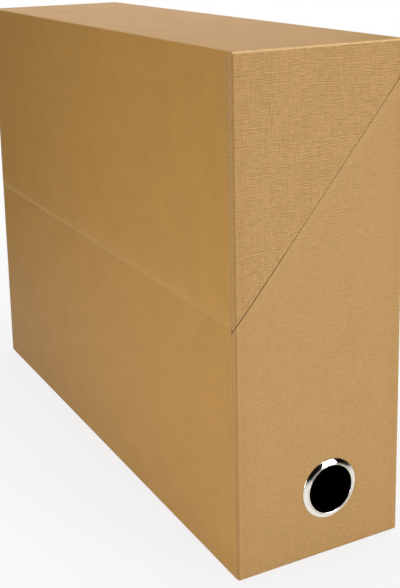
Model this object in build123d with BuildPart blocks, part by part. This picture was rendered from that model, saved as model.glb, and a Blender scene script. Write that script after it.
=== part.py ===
from build123d import *
from math import sqrt
import os

# File box of greyboard covered in paper, with a lid cut obliquely across both ends.
# Origin at the centre of the underside. X runs from the hinge side to the opening side,
# Y runs along the box from the spine, the narrow face with the ring, to the rear, and Z is up.
# Millimetres.

# Overall size, outside the covering
box_length = 340.0
box_width = 95.0
box_height = 255.0

# Where the lid is cut: the fold on the hinge side and the rim on the opening side
hinge_height = 128.0
rim_depth = 14.0
lid_gap = 0.7  # between lid and base, measured upwards

# Board and paper
board_thickness = 2.2
sheet_thickness = 0.3
corner_radius = 1.8  # upright corners, outside the covering
linen_return = 4.0  # linen that shows round the corner on the large faces
turn_in_depth = 6.0  # covering turned over a cut edge to the inside
hinge_strip_width = 14.0  # each leaf, down the inside of its board

# Finger ring
ring_offset = 5.0  # from the middle of the spine towards the opening side
ring_height = 35.0
ring_bore = 25.0
ring_barrel_wall = 0.5
ring_flange_diameter = 31.2
ring_flange_height = 1.3  # at the crest of its dome
ring_flange_edge = 0.35  # upright outer edge
ring_bore_edge = 0.7  # bore's straight wall outside the spine's face
ring_lip_width = 1.4
ring_lip_thickness = 0.5
ring_hole_clearance = 0.1  # radial, barrel to board, paper and washer
washer_diameter = 30.0
washer_thickness = 0.5

# Positions that follow from the sizes above
half_length = box_length / 2
half_width = box_width / 2
rim_height = box_height - rim_depth
cut_slope = (rim_height - hinge_height) / box_width
sheet_on_cut = sheet_thickness * sqrt(1 + cut_slope**2)  # a sheet on the cut, measured upwards

board_x = half_width - sheet_thickness
inside_x = board_x - board_thickness
lining_x = inside_x - sheet_thickness
board_y = half_length - sheet_thickness
inside_y = board_y - board_thickness
lining_y = inside_y - sheet_thickness
seam_y = half_length - linen_return  # linen meets smooth sheet on the large faces

floor_z = sheet_thickness
floor_lining_z = floor_z + board_thickness
floor_top_z = floor_lining_z + sheet_thickness
roof_z = box_height - sheet_thickness
roof_lining_z = roof_z - board_thickness
roof_under_z = roof_lining_z - sheet_thickness

cover_edge = lid_gap / 2  # from the middle of the cut to the covering
board_edge = cover_edge + sheet_on_cut
turn_in_edge = cover_edge + turn_in_depth
strip_edge = cover_edge + hinge_strip_width

board_corner = min(corner_radius - sheet_thickness, board_thickness - sheet_thickness)
cover_corner = board_corner + sheet_thickness

barrel_radius = ring_bore / 2 + ring_barrel_wall
ring_hole_radius = barrel_radius + ring_hole_clearance
wall_depth = sheet_thickness + board_thickness + sheet_thickness
lip_depth = wall_depth + washer_thickness
barrel_depth = lip_depth + ring_lip_thickness

SPINE = 1
REAR = -1


def cut_height(x):
    """Height of the middle of the lid's cut at x."""
    return hinge_height + (x + half_width) * cut_slope


def below_cut(x_from, x_to, bottom, drop):
    """Outline from a level bottom up to a line that runs drop below the cut."""
    return [
        (x_from, bottom),
        (x_to, bottom),
        (x_to, cut_height(x_to) - drop),
        (x_from, cut_height(x_from) - drop),
    ]


def above_cut(x_from, x_to, rise, top):
    """Outline from a line that runs rise above the cut up to a level top."""
    return [
        (x_from, cut_height(x_from) + rise),
        (x_to, cut_height(x_to) + rise),
        (x_to, top),
        (x_from, top),
    ]


def along_cut(x_from, x_to, low, high):
    """Outline between two lines along the cut, low and high above its middle."""
    return [
        (x_from, cut_height(x_from) + low),
        (x_to, cut_height(x_to) + low),
        (x_to, cut_height(x_to) + high),
        (x_from, cut_height(x_from) + high),
    ]


def level(x_from, x_to, bottom, top):
    """Rectangular outline."""
    return [(x_from, bottom), (x_to, bottom), (x_to, top), (x_from, top)]


def lengthwise(outline, y_from, y_to, mode=Mode.ADD):
    """Extrudes an outline in X and Z along the box, from y_from to y_to."""
    with BuildSketch(Plane.XZ.offset(-y_from)) as section:
        with BuildLine():
            Polyline(*outline, close=True)
        make_face()
    extrude(section.sketch, amount=y_from - y_to, mode=mode)


def upright_edges(part, x, y):
    """Upright edges at plus or minus x and plus or minus y."""
    near = sheet_thickness / 10
    return [
        edge
        for edge in part.edges().filter_by(Axis.Z)
        if abs(abs(edge.center().X) - x) < near and abs(abs(edge.center().Y) - y) < near
    ]


def finish_piece(piece, name):
    """Names a finished piece and writes its file."""
    piece.part.label = name
    export_step(piece.part, "parts/" + name + ".step")


def ring_plane(depth):
    """Plane of the finger ring, depth below the spine's outer face, looking out of the box."""
    return Plane(origin=(ring_offset, depth - half_length, ring_height), x_dir=(1, 0, 0), z_dir=(0, -1, 0))


def finger_hole():
    """Cuts the hole for the ring's barrel through the spine pieces."""
    with Locations(ring_plane(0)):
        Hole(ring_hole_radius)


os.makedirs("parts", exist_ok=True)

# Boards

with BuildPart() as base_floor_board:
    lengthwise(level(-inside_x, inside_x, floor_z, floor_lining_z), -inside_y, inside_y)
finish_piece(base_floor_board, "base_floor_board")

with BuildPart() as base_hinge_side_board:
    lengthwise(below_cut(-board_x, -inside_x, floor_z, board_edge), -board_y, board_y)
    fillet(upright_edges(base_hinge_side_board, board_x, board_y), board_corner)
finish_piece(base_hinge_side_board, "base_hinge_side_board")

with BuildPart() as base_opening_side_board:
    lengthwise(below_cut(inside_x, board_x, floor_z, board_edge), -board_y, board_y)
    fillet(upright_edges(base_opening_side_board, board_x, board_y), board_corner)
finish_piece(base_opening_side_board, "base_opening_side_board")

with BuildPart() as base_spine_board:
    lengthwise(below_cut(-inside_x, inside_x, floor_z, board_edge), -board_y, -inside_y)
    finger_hole()
finish_piece(base_spine_board, "base_spine_board")

with BuildPart() as base_rear_board:
    lengthwise(below_cut(-inside_x, inside_x, floor_z, board_edge), inside_y, board_y)
finish_piece(base_rear_board, "base_rear_board")

with BuildPart() as lid_top_board:
    lengthwise(level(-inside_x, inside_x, roof_lining_z, roof_z), -inside_y, inside_y)
finish_piece(lid_top_board, "lid_top_board")

with BuildPart() as lid_hinge_side_board:
    lengthwise(above_cut(-board_x, -inside_x, board_edge, roof_z), -board_y, board_y)
    fillet(upright_edges(lid_hinge_side_board, board_x, board_y), board_corner)
finish_piece(lid_hinge_side_board, "lid_hinge_side_board")

with BuildPart() as lid_rim_board:
    lengthwise(above_cut(inside_x, board_x, board_edge, roof_z), -board_y, board_y)
    fillet(upright_edges(lid_rim_board, board_x, board_y), board_corner)
finish_piece(lid_rim_board, "lid_rim_board")

with BuildPart() as lid_spine_board:
    lengthwise(above_cut(-inside_x, inside_x, board_edge, roof_z), -board_y, -inside_y)
finish_piece(lid_spine_board, "lid_spine_board")

with BuildPart() as lid_rear_board:
    lengthwise(above_cut(-inside_x, inside_x, board_edge, roof_z), inside_y, board_y)
finish_piece(lid_rear_board, "lid_rear_board")

# Smooth covering sheets

with BuildPart() as base_floor_sheet:
    lengthwise(level(-half_width, half_width, 0, floor_z), -half_length, half_length)
    fillet(upright_edges(base_floor_sheet, half_width, half_length), cover_corner)
finish_piece(base_floor_sheet, "base_floor_sheet")

with BuildPart() as base_hinge_side_sheet:
    lengthwise(below_cut(-half_width, -board_x, floor_z, cover_edge), -seam_y, seam_y)
finish_piece(base_hinge_side_sheet, "base_hinge_side_sheet")

with BuildPart() as base_opening_side_sheet:
    lengthwise(below_cut(board_x, half_width, floor_z, cover_edge), -seam_y, seam_y)
    lengthwise(along_cut(inside_x, board_x, -board_edge, -cover_edge), -seam_y, seam_y)
    lengthwise(along_cut(lining_x, inside_x, -turn_in_edge, -cover_edge), -inside_y, inside_y)
finish_piece(base_opening_side_sheet, "base_opening_side_sheet")

with BuildPart() as lid_wrap_sheet:
    lengthwise(level(-half_width, half_width, roof_z, box_height), -half_length, half_length)
    fillet(upright_edges(lid_wrap_sheet, half_width, half_length), cover_corner)
    lengthwise(above_cut(-half_width, -board_x, cover_edge, roof_z), -seam_y, seam_y)
    lengthwise(above_cut(board_x, half_width, cover_edge, roof_z), -seam_y, seam_y)
    lengthwise(along_cut(inside_x, board_x, cover_edge, board_edge), -seam_y, seam_y)
    lengthwise(along_cut(lining_x, inside_x, cover_edge, turn_in_edge), -inside_y, inside_y)
finish_piece(lid_wrap_sheet, "lid_wrap_sheet")

# Linen covering at both ends: round the upright corners, over the cut edge and turned in


def end_boards(outline, side):
    """The room that the boards take inside an end's linen, with the boards' upright corners."""
    with BuildPart() as boards:
        lengthwise(outline, -side * board_y, -side * seam_y)
        fillet(upright_edges(boards, board_x, board_y), board_corner)
    return boards.part


def end_linen(outline, boards_outline, inside_outline, turn_in_outline, side):
    """Linen piece on one end: a shell round the boards, open to the inside, with its turn-in."""
    boards = end_boards(boards_outline, side)
    with BuildPart() as linen:
        lengthwise(outline, -side * half_length, -side * seam_y)
        fillet(upright_edges(linen, half_width, half_length), cover_corner)
        add(boards, mode=Mode.SUBTRACT)
        lengthwise(inside_outline, -side * inside_y, -side * seam_y, mode=Mode.SUBTRACT)
        lengthwise(turn_in_outline, -side * inside_y, -side * lining_y)
    return linen


def base_linen(side):
    """Linen piece on one end of the base."""
    return end_linen(
        below_cut(-half_width, half_width, floor_z, cover_edge),
        below_cut(-board_x, board_x, floor_z, board_edge),
        below_cut(-inside_x, inside_x, floor_z, 0),
        along_cut(-lining_x, lining_x, -turn_in_edge, -cover_edge),
        side,
    )


def lid_linen(side):
    """Linen piece on one end of the lid."""
    return end_linen(
        above_cut(-half_width, half_width, cover_edge, roof_z),
        above_cut(-board_x, board_x, board_edge, roof_z),
        above_cut(-inside_x, inside_x, 0, roof_z),
        along_cut(-lining_x, lining_x, cover_edge, turn_in_edge),
        side,
    )


with BuildPart() as base_spine_linen:
    add(base_linen(SPINE).part)
    finger_hole()
finish_piece(base_spine_linen, "base_spine_linen")

finish_piece(base_linen(REAR), "base_rear_linen")
finish_piece(lid_linen(SPINE), "lid_spine_linen")
finish_piece(lid_linen(REAR), "lid_rear_linen")

# Hinge strip inside the fold, one leaf on each board: over the board's edge and down its inside

with BuildPart() as base_hinge_strip:
    lengthwise(along_cut(-board_x, -inside_x, -board_edge, -cover_edge), -seam_y, seam_y)
    lengthwise(along_cut(-inside_x, -lining_x, -strip_edge, -cover_edge), -inside_y, inside_y)
finish_piece(base_hinge_strip, "base_hinge_strip")

with BuildPart() as lid_hinge_strip:
    lengthwise(along_cut(-board_x, -inside_x, cover_edge, board_edge), -seam_y, seam_y)
    lengthwise(along_cut(-inside_x, -lining_x, cover_edge, strip_edge), -inside_y, inside_y)
finish_piece(lid_hinge_strip, "lid_hinge_strip")

# Lining papers

with BuildPart() as base_lining:
    lengthwise(level(-inside_x, inside_x, floor_lining_z, floor_top_z), -inside_y, inside_y)
    lengthwise(below_cut(-inside_x, -lining_x, floor_lining_z, strip_edge), -inside_y, inside_y)
    lengthwise(below_cut(lining_x, inside_x, floor_lining_z, turn_in_edge), -inside_y, inside_y)
finish_piece(base_lining, "base_lining")

with BuildPart() as base_spine_lining:
    lengthwise(below_cut(-lining_x, lining_x, floor_top_z, turn_in_edge), -inside_y, -lining_y)
    finger_hole()
finish_piece(base_spine_lining, "base_spine_lining")

with BuildPart() as base_rear_lining:
    lengthwise(below_cut(-lining_x, lining_x, floor_top_z, turn_in_edge), lining_y, inside_y)
finish_piece(base_rear_lining, "base_rear_lining")

with BuildPart() as lid_lining:
    lengthwise(level(-inside_x, inside_x, roof_under_z, roof_lining_z), -inside_y, inside_y)
    lengthwise(above_cut(-inside_x, -lining_x, strip_edge, roof_lining_z), -inside_y, inside_y)
    lengthwise(above_cut(lining_x, inside_x, turn_in_edge, roof_lining_z), -inside_y, inside_y)
finish_piece(lid_lining, "lid_lining")

with BuildPart() as lid_spine_lining:
    lengthwise(above_cut(-lining_x, lining_x, turn_in_edge, roof_under_z), -inside_y, -lining_y)
finish_piece(lid_spine_lining, "lid_spine_lining")

with BuildPart() as lid_rear_lining:
    lengthwise(above_cut(-lining_x, lining_x, turn_in_edge, roof_under_z), lining_y, inside_y)
finish_piece(lid_rear_lining, "lid_rear_lining")

# Finger ring: a domed flange on the spine's face, a barrel through the wall and a lip rolled
# over a washer inside. Its half section is drawn with X as the radius and Y as the way in.

bore_radius = ring_bore / 2
flange_radius = ring_flange_diameter / 2
crest_radius = (bore_radius + flange_radius) / 2
lip_radius = barrel_radius + ring_lip_width

section_plane = Plane(origin=(ring_offset, -half_length, ring_height), x_dir=(1, 0, 0), z_dir=(0, 0, 1))
ring_axis = Axis((ring_offset, -half_length, ring_height), (0, 1, 0))

with BuildPart() as finger_ring:
    with BuildSketch(section_plane):
        with BuildLine():
            Polyline(
                (flange_radius, -ring_flange_edge),
                (flange_radius, 0),
                (barrel_radius, 0),
                (barrel_radius, lip_depth),
                (lip_radius, lip_depth),
                (lip_radius, barrel_depth),
                (bore_radius, barrel_depth),
                (bore_radius, -ring_bore_edge),
            )
            ThreePointArc(
                (bore_radius, -ring_bore_edge),
                (crest_radius, -ring_flange_height),
                (flange_radius, -ring_flange_edge),
            )
        make_face()
    revolve(axis=ring_axis)
finish_piece(finger_ring, "finger_ring")

with BuildPart() as finger_ring_washer:
    with BuildSketch(ring_plane(wall_depth)):
        Circle(washer_diameter / 2)
        Circle(ring_hole_radius, mode=Mode.SUBTRACT)
    extrude(amount=-washer_thickness)
finish_piece(finger_ring_washer, "finger_ring_washer")
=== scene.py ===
"""Transfer file box of kraft-covered greyboard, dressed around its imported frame.

Metres throughout. X runs from the hinge side to the opening side, Y along the box from the spine with
the finger ring to the rear, and Z up from the surface that the box stands on.
"""

from __future__ import annotations

import logging
import math
from dataclasses import dataclass, field
from enum import Enum
from functools import partial, reduce
from typing import Any, Sequence

import bmesh
import bpy
import numpy as np
from mathutils import Matrix, Vector

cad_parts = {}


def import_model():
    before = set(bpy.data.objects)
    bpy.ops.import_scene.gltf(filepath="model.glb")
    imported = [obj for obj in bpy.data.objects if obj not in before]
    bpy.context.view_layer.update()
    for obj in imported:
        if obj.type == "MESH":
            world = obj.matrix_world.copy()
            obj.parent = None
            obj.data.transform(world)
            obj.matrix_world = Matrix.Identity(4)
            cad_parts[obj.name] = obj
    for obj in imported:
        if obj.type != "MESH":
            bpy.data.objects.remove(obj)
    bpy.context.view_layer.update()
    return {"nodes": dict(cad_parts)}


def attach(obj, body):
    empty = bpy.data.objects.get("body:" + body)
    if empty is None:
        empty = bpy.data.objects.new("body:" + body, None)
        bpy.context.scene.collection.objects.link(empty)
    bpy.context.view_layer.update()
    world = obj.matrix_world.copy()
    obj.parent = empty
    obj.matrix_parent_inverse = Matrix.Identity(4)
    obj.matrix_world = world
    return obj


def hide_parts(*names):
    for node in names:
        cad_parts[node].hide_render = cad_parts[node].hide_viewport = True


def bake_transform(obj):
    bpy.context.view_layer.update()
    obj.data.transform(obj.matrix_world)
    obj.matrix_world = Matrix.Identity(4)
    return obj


LOG = logging.getLogger("file_box")
MM = 0.001
SAME_POINT = 0.001 * MM
NO_AREA = 0.0001 * MM
ON_FACE = 0.01 * MM
STRAIGHT = 1e-4
ARC_STEP_DEGREES = 12
QUARTER = math.pi / 2

Colour = tuple[float, float, float]
Point2 = tuple[float, float]


class End(Enum):
    """The two narrow ends of the box, as the sign of Y."""

    SPINE = -1
    REAR = 1


class Part(Enum):
    """The two bodies of the box."""

    BASE = "base"
    LID = "lid"


class Lay(Enum):
    """Where a finish's pattern takes its place from."""

    SHEET = "sheet"
    SOLID = "solid"


@dataclass(frozen=True)
class BoxSizes:
    """Sizes that every piece shares, in metres.

    The open line between lid and base has half its height from gap_heights, at the shares of the cut in
    gap_shares. The smooth sheet's edge on the hinge side runs askew, and each seam holds its distance from
    the end's face at the bottom and at the top.
    """

    half_width: float = 47.5 * MM
    half_length: float = 170.0 * MM
    height: float = 255.0 * MM
    fold_height: float = 128.0 * MM
    rim_height: float = 241.0 * MM
    inside_x: float = 44.7 * MM
    inside_y: float = 167.2 * MM
    lip_x: float = 44.6 * MM
    corner: float = 1.15 * MM
    turn_in: float = 6.0 * MM
    turn_under: float = 14.0 * MM
    under_z: float = 0.12 * MM
    bottom_round: float = 0.5 * MM
    linen_recess: float = 0.2 * MM
    smooth_inset: float = 4.0 * MM
    rim_gap: float = 0.32 * MM
    gap_shares: tuple[float, ...] = (0.18, 0.34, 0.88, 0.96)
    gap_heights: tuple[float, ...] = (0.28 * MM, 0.07 * MM, 0.07 * MM, 0.24 * MM)
    spine_seam: Point2 = (2.15 * MM, 5.55 * MM)
    rear_seam: Point2 = (4.7 * MM, 3.4 * MM)

    @property
    def slope(self) -> float:
        """Rise of the lid's cut for each metre across the box."""
        return (self.rim_height - self.fold_height) / (2 * self.half_width)

    def cut(self, x: float) -> float:
        """Height of the middle of the lid's cut at x."""
        return self.fold_height + (x + self.half_width) * self.slope

    def half_gap(self, x: float) -> float:
        """Half the height of the open line between lid and base at x."""
        share = (x + self.half_width) / (2 * self.half_width)
        return float(np.interp(share, self.gap_shares, self.gap_heights))

    def seam(self, z: float, end: End) -> float:
        """How far the smooth sheet's edge lies from the end's face, on the hinge side."""
        seams = self.spine_seam if end is End.SPINE else self.rear_seam
        return float(np.interp(z, (0.0, self.height), seams))

    def is_under(self, z: float) -> bool:
        """True at the height of the papers under the floor."""
        return z < self.under_z + 0.5 * self.bottom_round

    def fold_point(self) -> Vector:
        """The point of the fold's axis halfway along the box."""
        return Vector((-self.half_width, 0.0, self.fold_height))

    def fold_normal(self) -> Vector:
        """Unit normal of the lid's cut, pointing into the lid."""
        return Vector((-self.slope, 0.0, 1.0)).normalized()


BOX = BoxSizes()


# Drawing of outlines and sheets


def ramp(values: Any, start: float, end: float) -> Any:
    """The values carried from 0 at start to 1 at end, and held there."""
    return np.clip((values - start) / (end - start), 0.0, 1.0)


def eased(values: np.ndarray, low: float, high: float) -> np.ndarray:
    """Values carried smoothly from 0 at low to 1 at high."""
    share = ramp(values, low, high)
    return share * share * (3 - 2 * share)


def turned(spoke: np.ndarray, angle: float) -> np.ndarray:
    """A flat vector turned by an angle in radians."""
    c, s = math.cos(angle), math.sin(angle)
    return np.array((c * spoke[0] - s * spoke[1], s * spoke[0] + c * spoke[1]))


def rounded_corner(before: np.ndarray, at: np.ndarray, after: np.ndarray, radius: float) -> list[np.ndarray]:
    """Rounds one corner of a line.

    Args:
        before: The corner before it.
        at: The corner.
        after: The corner after it.
        radius: Its radius, 0 for a sharp corner.

    Returns:
        The arc's points, or the corner alone where it stays sharp.
    """
    into = (at - before) / np.linalg.norm(at - before)
    onward = (after - at) / np.linalg.norm(after - at)
    turn = math.acos(float(np.clip(into @ onward, -1.0, 1.0)))
    if radius <= 0 or turn < STRAIGHT:
        return [at]
    back = radius * math.tan(turn / 2)
    first, last = at - into * back, at + onward * back
    side = 1.0 if into[0] * onward[1] - into[1] * onward[0] > 0 else -1.0
    centre = first + side * radius * np.array((-into[1], into[0]))
    count = max(4, int(math.degrees(turn) / ARC_STEP_DEGREES))
    angles = np.linspace(0, side * turn, count + 1)[1:-1]
    return [first, *(centre + turned(first - centre, a) for a in angles), last]


def rounded_path(corners: Sequence[Point2], radii: Sequence[float], steps: Sequence[float]) -> np.ndarray:
    """Draws a line through corners with each inner corner rounded.

    Args:
        corners: The corners, first and last included.
        radii: Radius at each inner corner, 0 for a sharp one.
        steps: Longest step on each straight run between corners.

    Returns:
        The points as an array of rows of two numbers.
    """
    places = [np.array(c, float) for c in corners]
    points = [places[0]]
    for i, step in enumerate(steps):
        arc = rounded_corner(*places[i : i + 3], radii[i]) if i < len(radii) else [places[-1]]
        start = points[-1]
        count = max(1, math.ceil(np.linalg.norm(arc[0] - start) / step))
        points += [start + (arc[0] - start) * t for t in np.linspace(0, 1, count + 1)[1:]]
        points += arc[1:]
    return np.array(points)


def arc_lengths(points: np.ndarray) -> np.ndarray:
    """Length along a line of points at each of its points."""
    steps = np.linalg.norm(np.diff(points, axis=0), axis=1)
    return np.concatenate(([0.0], np.cumsum(steps)))


def spread(low: float, high: float, step: float, edge: Sequence[float]) -> np.ndarray:
    """Places from low to high, close together by the two edges.

    Args:
        low: First place.
        high: Last place.
        step: Longest step between the edges.
        edge: Distances from each edge that get a place of their own.

    Returns:
        The places in rising order.
    """
    near = [low + e for e in edge]
    far = [high - e for e in reversed(edge)]
    count = max(2, math.ceil((far[0] - near[-1]) / step))
    middle = np.linspace(near[-1], far[0], count + 1)[1:-1]
    return np.array([*near, *middle, *far])


def new_piece(name: str, points: np.ndarray, faces: np.ndarray) -> bpy.types.Object:
    """Makes a mesh object and adds it to the scene.

    Args:
        name: Name of the piece.
        points: Its points, as rows of three numbers.
        faces: Its faces, as rows of the points' numbers.

    Returns:
        The object.
    """
    mesh = bpy.data.meshes.new(name)
    mesh.from_pydata(points.tolist(), [], faces.tolist())
    piece = bpy.data.objects.new(name, mesh)
    bpy.context.scene.collection.objects.link(piece)
    return piece


def finished(piece: bpy.types.Object, sharp_degrees: float) -> bpy.types.Object:
    """Puts a piece's modifiers into its mesh and shades it smooth up to an angle.

    Args:
        piece: The object.
        sharp_degrees: Edges that turn by more than this stay sharp.

    Returns:
        The same object.
    """
    bpy.context.view_layer.update()
    final = bpy.data.meshes.new_from_object(piece.evaluated_get(bpy.context.evaluated_depsgraph_get()))
    piece.modifiers.clear()
    old, piece.data = piece.data, final
    final.name = piece.name
    bpy.data.meshes.remove(old)
    final.polygons.foreach_set("use_smooth", [True] * len(final.polygons))
    final.set_sharp_from_angle(angle=math.radians(sharp_degrees))
    final.update()
    return piece


@dataclass(frozen=True)
class RoundHole:
    """A round hole in a flat stretch of a grid, with rings of points round it.

    Its patch takes the place of the quads in rows and cols, and its rings lie between 0 at the hole and 1
    at the grid.
    """

    rows: slice
    cols: slice
    centre: np.ndarray
    radius: float
    rings: tuple[float, ...] = (0.0, 0.06, 0.2, 0.5)

    def loop(self, index: np.ndarray) -> np.ndarray:
        """Indices of the grid's points round the patch, in order."""
        r0, r1, c0, c1 = self.rows.start, self.rows.stop, self.cols.start, self.cols.stop
        return np.concatenate((index[r0:r1, c0], index[r1, c0:c1], index[r1:r0:-1, c1], index[r0, c1:c0:-1]))

    def patch(self, border: np.ndarray, loop: np.ndarray, first: int) -> tuple[np.ndarray, np.ndarray]:
        """Points and quads between the hole and the grid.

        Args:
            border: The points of the loop.
            loop: Their indices.
            first: Index that the first new point gets.

        Returns:
            The new points and the quads, as arrays.
        """
        spokes = border - self.centre
        lengths = np.linalg.norm(spokes, axis=1, keepdims=True)
        outward = spokes / lengths
        rings = [self.centre + outward * (self.radius + (lengths - self.radius) * t) for t in self.rings]
        count = len(loop)
        rows = [*(first + k * count + np.arange(count) for k in range(len(rings))), loop]
        bands = zip(rows[:-1], rows[1:])
        quads = [np.stack((a, b, np.roll(b, -1), np.roll(a, -1)), axis=-1) for a, b in bands]
        return np.vstack(rings), np.vstack(quads)


@dataclass
class Sheet:
    """A thin sheet on a grid of points, given thickness and its own sides.

    The points are rows by columns of its outer surface, and lay has their places on the flat sheet. Two
    numbers from 0 to 1 say how far each point is paled, by wear and by painted highlight, and how far it
    is darkened, much of it painted shade. The sheet is flipped where the grid gives an inward normal, and
    keep has the quads that are there, or None for all.
    """

    name: str
    points: np.ndarray
    lay: np.ndarray
    wear_and_highlight: np.ndarray
    bend: np.ndarray
    thickness: float
    flip: bool = False
    hole: RoundHole | None = None
    keep: np.ndarray | None = None
    sharp_degrees: float = 32.0

    def build(self, face: bpy.types.Material, edge: bpy.types.Material) -> bpy.types.Object:
        """Makes the mesh object.

        Args:
            face: Material of both faces of the paper.
            edge: Material of its cut edges.

        Returns:
            The object, with the thickness in its mesh.
        """
        rows, cols = self.points.shape[:2]
        index = np.arange(rows * cols).reshape(rows, cols)
        quads = np.stack((index[:-1, :-1], index[1:, :-1], index[1:, 1:], index[:-1, 1:]), axis=-1)
        kept = np.ones(quads.shape[:2], bool) if self.keep is None else self.keep.copy()
        points, lay = self.points.reshape(-1, 3), self.lay.reshape(-1, 2)
        wear_and_highlight, bend = self.wear_and_highlight.ravel(), self.bend.ravel()
        patch = np.zeros((0, 4), int)
        if self.hole is not None:
            kept[self.hole.rows, self.hole.cols] = False
            loop = self.hole.loop(index)
            added, patch = self.hole.patch(points[loop], loop, len(points))
            flat_map = np.linalg.lstsq(np.c_[points[loop], np.ones(len(loop))], lay[loop], rcond=None)[0]
            lay = np.vstack((lay, np.c_[added, np.ones(len(added))] @ flat_map))
            points = np.vstack((points, added))
            wear_and_highlight, bend = (np.concatenate((v, np.zeros(len(added)))) for v in (wear_and_highlight, bend))
        faces = np.vstack((quads[kept], patch))
        piece = new_piece(self.name, points, faces[:, ::-1] if self.flip else faces)
        self._store(piece.data, "lay", np.c_[lay, np.zeros(len(lay))])
        self._store(piece.data, "wear_and_highlight", wear_and_highlight)
        self._store(piece.data, "bend", bend)
        self._merge(piece.data)
        piece.data.materials.append(face)
        piece.data.materials.append(edge)
        thick = piece.modifiers.new("thickness", "SOLIDIFY")
        thick.thickness = self.thickness
        thick.offset = -1.0
        thick.use_even_offset = False
        thick.use_quality_normals = True
        thick.material_offset_rim = 1
        return finished(piece, self.sharp_degrees)

    @staticmethod
    def _store(mesh: bpy.types.Mesh, name: str, values: np.ndarray) -> None:
        """Keeps a number or a vector for each point of the mesh, under a name."""
        kind, key = ("FLOAT", "value") if values.ndim == 1 else ("FLOAT_VECTOR", "vector")
        mesh.attributes.new(name, kind, "POINT").data.foreach_set(key, values.astype(np.float32).ravel())

    @staticmethod
    def _merge(mesh: bpy.types.Mesh) -> None:
        """Joins points that fall together and drops loose ones, so that no face is without area.

        Args:
            mesh: The mesh, which is changed.
        """
        work = bmesh.new()
        work.from_mesh(mesh)
        bmesh.ops.delete(work, geom=[v for v in work.verts if not v.link_faces], context="VERTS")
        bmesh.ops.remove_doubles(work, verts=work.verts, dist=SAME_POINT)
        bmesh.ops.dissolve_degenerate(work, edges=work.edges, dist=NO_AREA)
        work.to_mesh(mesh)
        work.free()


# Finishes


@dataclass(frozen=True)
class Grain:
    """A soft noise: its cells to the metre, its finer layers, and what the place is multiplied by."""

    cells: float
    detail: float = 1.0
    rough: float = 0.5
    twist: float = 0.0
    stretch: tuple[float, float, float] = (1.0, 1.0, 1.0)


def scaled(colour: Colour, share: float) -> Colour:
    """The colour made lighter or darker by a share."""
    return (colour[0] * share, colour[1] * share, colour[2] * share)


def opaque(colour: Any) -> Any:
    """A plain colour with its fourth number added, and an output as it is."""
    return (*colour, 1.0) if isinstance(colour, tuple) else colour


class Nodes:
    """Lays out and joins the nodes of one tree."""

    def __init__(self, tree: bpy.types.NodeTree) -> None:
        """Starts with an empty tree."""
        self.tree = tree
        self.tree.nodes.clear()

    def join(self, source: Any, target: bpy.types.NodeSocket) -> None:
        """Links an output to an input, or sets the input to a value.

        Args:
            source: The output or the value.
            target: The input.
        """
        if isinstance(source, bpy.types.NodeSocket):
            self.tree.links.new(source, target)
        else:
            target.default_value = source

    def add(self, kind: str, inputs: dict[str | int, Any] | None = None, **settings: Any) -> bpy.types.Node:
        """Adds a node.

        Args:
            kind: The kind of node.
            inputs: What its inputs get, an output or a value, by the input's name or number.
            **settings: Its own properties.

        Returns:
            The node.
        """
        node = self.tree.nodes.new(kind)
        for key, value in settings.items():
            setattr(node, key, value)
        for key, source in (inputs or {}).items():
            self.join(source, node.inputs[key])
        return node

    def remap(self, value: Any, low: float, high: float, to_low: float = 0.0, to_high: float = 1.0) -> Any:
        """The value carried from one range to another, held at its ends."""
        ranges = {"From Min": low, "From Max": high, "To Min": to_low, "To Max": to_high}
        return self.add("ShaderNodeMapRange", {"Value": value, **ranges}).outputs[0]

    def worked(self, operation: str, first: Any, second: Any = 0.0) -> Any:
        """The result of an operation on one or two values, by its name."""
        return self.add("ShaderNodeMath", {0: first, 1: second}, operation=operation).outputs[0]

    def product(self, first: Any, second: Any) -> Any:
        """The product of two values."""
        return self.worked("MULTIPLY", first, second)

    def weighted(self, *parts: tuple[Any, float]) -> Any:
        """The sum of values, each given with its weight."""
        terms = [self.product(value, weight) for value, weight in parts]
        return reduce(partial(self.worked, "ADD"), terms)

    def between(self, share: Any, first: Any, second: Any) -> Any:
        """A value between two, by a share from 0 to 1."""
        return self.add("ShaderNodeMix", {0: share, 2: first, 3: second}, data_type="FLOAT").outputs[0]


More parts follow.
